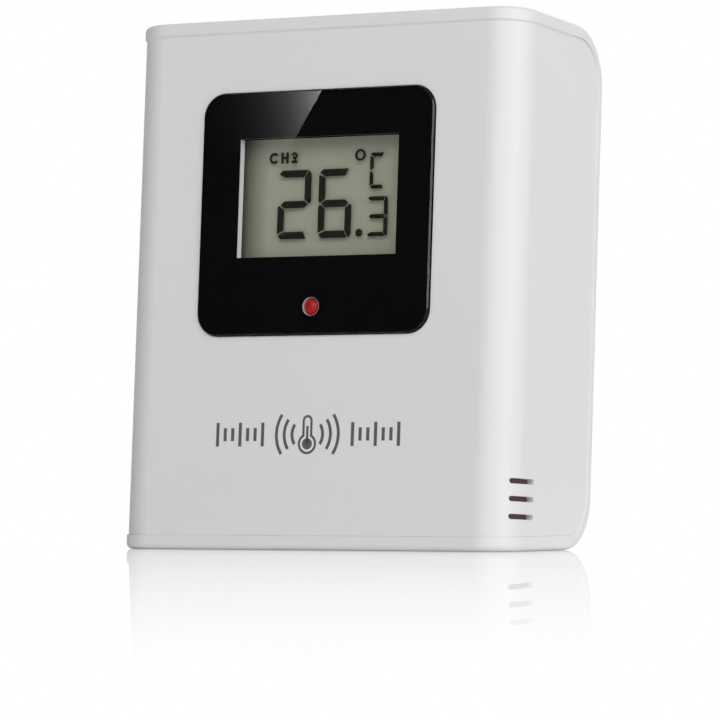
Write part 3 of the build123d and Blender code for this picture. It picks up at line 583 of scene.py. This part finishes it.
def window_outline(margin):
    """The window's outline, seen from the front and grown by a margin."""
    radius = WINDOW_CORNER + margin
    side = WINDOW_HALF + margin - radius
    low, high = WINDOW_LOW - margin + radius, WINDOW_HIGH + margin - radius
    outline = []
    for step, (across, height) in enumerate(((side, high), (-side, high), (-side, low), (side, low))):
        outline += arc((FACE_CENTRE + across, height), radius, 90 * step, 90 * step + 90, 9)
    return outline


def window_edge_print(dark):
    """Black paint on the window's side walls, as seen through its front."""
    outlines = band(*(window_outline(margin) for margin in EDGE_PAINT))
    marks("window_edge_print", outlines, EDGE_PAINT_DEPTH, dark, "case")


def painted_top_shadow(dark):
    """Black strip of painted shadow under the top edge of the opening in front of the display."""
    outline = rectangle(FACE_CENTRE - PAINTED_SHADOW_HALF, FACE_CENTRE + PAINTED_SHADOW_HALF, *PAINTED_SHADOW_HEIGHTS)
    marks("painted_top_shadow", [outline], PAINTED_SHADOW_DEPTH, dark, "case")


def studio_light(name, direction, size, power):
    """A soft rectangular light, turned towards the object."""
    data = bpy.data.lights.new(name, "AREA")
    data.shape = "RECTANGLE"
    data.size, data.size_y = size
    data.energy = power
    light = linked(name, data)
    away = Vector(direction).normalized()
    light.location = away * LIGHT_DISTANCE + Vector(LIGHT_TARGET)
    light.rotation_euler = away.to_track_quat("Z", "Y").to_euler()


def lobe(tree, direction, target, angles):
    """1 near a direction of the surroundings, falling to 0 outside the wider of two angles."""
    towards = tree.nodes.new("ShaderNodeVectorMath")
    towards.operation = "DOT_PRODUCT"
    towards.inputs[1].default_value = Vector(target).normalized()
    tree.links.new(direction, towards.inputs[0])
    outside, inside = (math.cos(math.radians(angle)) for angle in angles)
    return spread(tree, towards.outputs["Value"], outside, inside, 0.0, 1.0, "SMOOTHSTEP")


def blended(tree, share, level, target):
    """level moved towards a fixed target by a share from 0 to 1."""
    mix = tree.nodes.new("ShaderNodeMix")
    mix.data_type = "FLOAT"
    tree.links.new(share, mix.inputs["Factor"])
    tree.links.new(level, mix.inputs["A"])
    mix.inputs["B"].default_value = target
    return mix.outputs["Result"]


def surroundings():
    """White behind the object for the camera; soft grey with a dark left side for everything else."""
    world = bpy.data.worlds.new("studio")
    bpy.context.scene.world = world
    world.use_nodes = True
    tree = world.node_tree
    background = tree.nodes["Background"]
    direction = tree.nodes.new("ShaderNodeTexCoord").outputs["Generated"]
    level = tree.nodes.new("ShaderNodeValue")
    level.outputs["Value"].default_value = AMBIENT
    dark = blended(tree, lobe(tree, direction, DARK_SIDE, DARK_SIDE_ANGLES), level.outputs["Value"],
                   AMBIENT * (1 - DARK_SIDE_DEPTH))
    rays = tree.nodes.new("ShaderNodeLightPath")
    ahead = lobe(tree, direction, WINDOW_MIRROR, WINDOW_MIRROR_ANGLES)
    in_a_mirror = arithmetic(tree, "MULTIPLY", ahead, rays.outputs["Is Glossy Ray"])
    mirrored = blended(tree, in_a_mirror, dark, WINDOW_MIRROR_LEVEL)
    lit = blended(tree, lobe(tree, direction, BACKDROP, BACKDROP_ANGLES), mirrored, 1.0)
    tree.links.new(blended(tree, rays.outputs["Is Camera Ray"], lit, 1.0), background.inputs["Strength"])
    background.inputs["Color"].default_value = WHITE


def card_glow(corner, enlarged):
    """The card's light: brightest at its upper right corner, and fading to the left and downwards."""
    material = bare("card_glow")
    tree = material.node_tree
    across, up = across_and_up(tree)
    left, down = CARD_FADE_LEFT / enlarged, CARD_FADE_DOWN / enlarged
    fade = arithmetic(
        tree, "ADD",
        arithmetic(tree, "MULTIPLY_ADD", across, left, -corner.x * left),
        arithmetic(tree, "MULTIPLY_ADD", up, down, -corner.z * down),
    )
    glow = tree.nodes.new("ShaderNodeEmission")
    level = arithmetic(tree, "MULTIPLY", arithmetic(tree, "EXPONENT", fade), CARD_LEVEL)
    tree.links.new(level, glow.inputs["Strength"])
    show(tree, glow.outputs["Emission"])
    return material


def window_card():
    """The card that the window mirrors, stood where the camera finds it in the window's reflection."""
    surface = [case_point(x, -WINDOW_PROUD, z) for x, z in CARD_EDGE]
    surface += [case_point(CARD_LEFT, -WINDOW_PROUD, z) for _, z in reversed(CARD_EDGE)]
    outward = (case_point(0, -1, 0) - case_point(0, 0, 0)).normalized()
    eye = Vector(CAMERA_PLACE)
    image = eye - 2 * (eye - surface[0]).dot(outward) * outward
    corners = [point + (point - image).normalized() * CARD_BEYOND for point in surface]
    enlarged = (corners[0] - corners[3]).length / (surface[0] - surface[3]).length * MM
    mesh = bpy.data.meshes.new("window_card")
    mesh.from_pydata(corners, [], [range(len(corners))])
    card = linked("window_card", mesh)
    card.visible_camera = False
    card.visible_diffuse = False
    card.visible_transmission = False
    card.visible_shadow = False
    card.data.materials.append(card_glow(corners[0], enlarged))


def floor_white():
    """White, with a polish that shows at grazing angles and fades away from the object."""
    material = bare("floor_white")
    tree = material.node_tree
    matt = tree.nodes.new("ShaderNodeBsdfDiffuse")
    matt.inputs["Color"].default_value = FLOOR_WHITE
    polish = tree.nodes.new("ShaderNodeBsdfGlossy")
    polish.inputs["Roughness"].default_value = 0.0
    polish.inputs["Color"].default_value = WHITE
    white = tree.nodes.new("ShaderNodeEmission")
    seen = tree.nodes.new("ShaderNodeLightPath").outputs["Is Camera Ray"]
    base = mixed(tree, seen, matt.outputs["BSDF"], white.outputs["Emission"])
    distance = tree.nodes.new("ShaderNodeVectorMath")
    distance.operation = "LENGTH"
    tree.links.new(tree.nodes.new("ShaderNodeTexCoord").outputs["Object"], distance.inputs[0])
    end = FLOOR_FADE_START + FLOOR_FADE_LENGTH
    fade = spread(tree, distance.outputs["Value"], FLOOR_FADE_START, end, FLOOR_POLISH, 0.0)
    share = arithmetic(tree, "MULTIPLY", fade, grazing(tree, FLOOR_STEEPNESS))
    show(tree, mixed(tree, share, base, polish.outputs["BSDF"]))
    return material


def floor():
    """The pale floor under the object."""
    mesh = bmesh.new()
    bmesh.ops.create_grid(mesh, x_segments=FLOOR_CELLS, y_segments=FLOOR_CELLS, size=FLOOR_HALF)
    data = bpy.data.meshes.new("floor")
    mesh.to_mesh(data)
    mesh.free()
    piece = linked("floor", data)
    piece.location.z = FLOOR_LEVEL
    piece.data.materials.append(floor_white())


def camera():
    """The camera of the photograph."""
    data = bpy.data.cameras.new("camera")
    data.lens = CAMERA_LENS
    data.sensor_width = SENSOR
    data.clip_start, data.clip_end = CAMERA_CLIP
    seer = linked("camera", data)
    seer.location = CAMERA_PLACE
    seer.rotation_euler = (math.radians(90.0 - CAMERA_ELEVATION), 0.0, math.radians(CAMERA_AZIMUTH))
    bpy.context.scene.camera = seer


def swell(node, amount):
    """Grows a plate a hair's breadth, so that its face doesn't coincide with the glass it is glued to."""
    grown = node.modifiers.new("swell", "DISPLACE")
    grown.strength = amount
    grown.mid_level = 0.0


def main():
    """Dresses the frame, adds the marks and sets up the studio."""
    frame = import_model()
    finishes = all_finishes()
    for part in frame["record"]["subparts"]:
        node = frame["nodes"][part["node"]]
        node.data.materials.clear()
        node.data.materials.append(finishes[part["material_slot"]])
    for name, amount in SWELLINGS:
        swell(frame["nodes"][name], amount * MM)
    print_grey = finish("print_grey", (0.105, 0.11, 0.114), 0.5, uneven=0.05)
    front_mark(print_grey)
    lip_round(finishes["case_white"])
    door_arrow(finishes["case_white"])
    bay_marks(print_grey)
    # the hole's wall is frosted and coloured pale pink as a painted highlight on the indicator's rim
    window_hole_wall(finish("hole_frost_highlight", (0.80, 0.58, 0.58), 0.6), finishes["mask_black"])
    # a black strip of painted shadow under the top edge of the display's opening
    painted_top_shadow(finishes["mask_black"])
    window_edge_print(finishes["mask_black"])
    surroundings()
    window_card()
    studio_light("side_box", SIDE_BOX_DIRECTION, SIDE_BOX_SIZE, SIDE_BOX_POWER)
    studio_light("key", KEY_DIRECTION, KEY_SIZE, KEY_POWER)
    floor()
    camera()
    scene = bpy.context.scene
    scene.view_settings.view_transform = "Standard"
    scene.cycles.transparent_max_bounces = CLEAR_LAYERS


main()
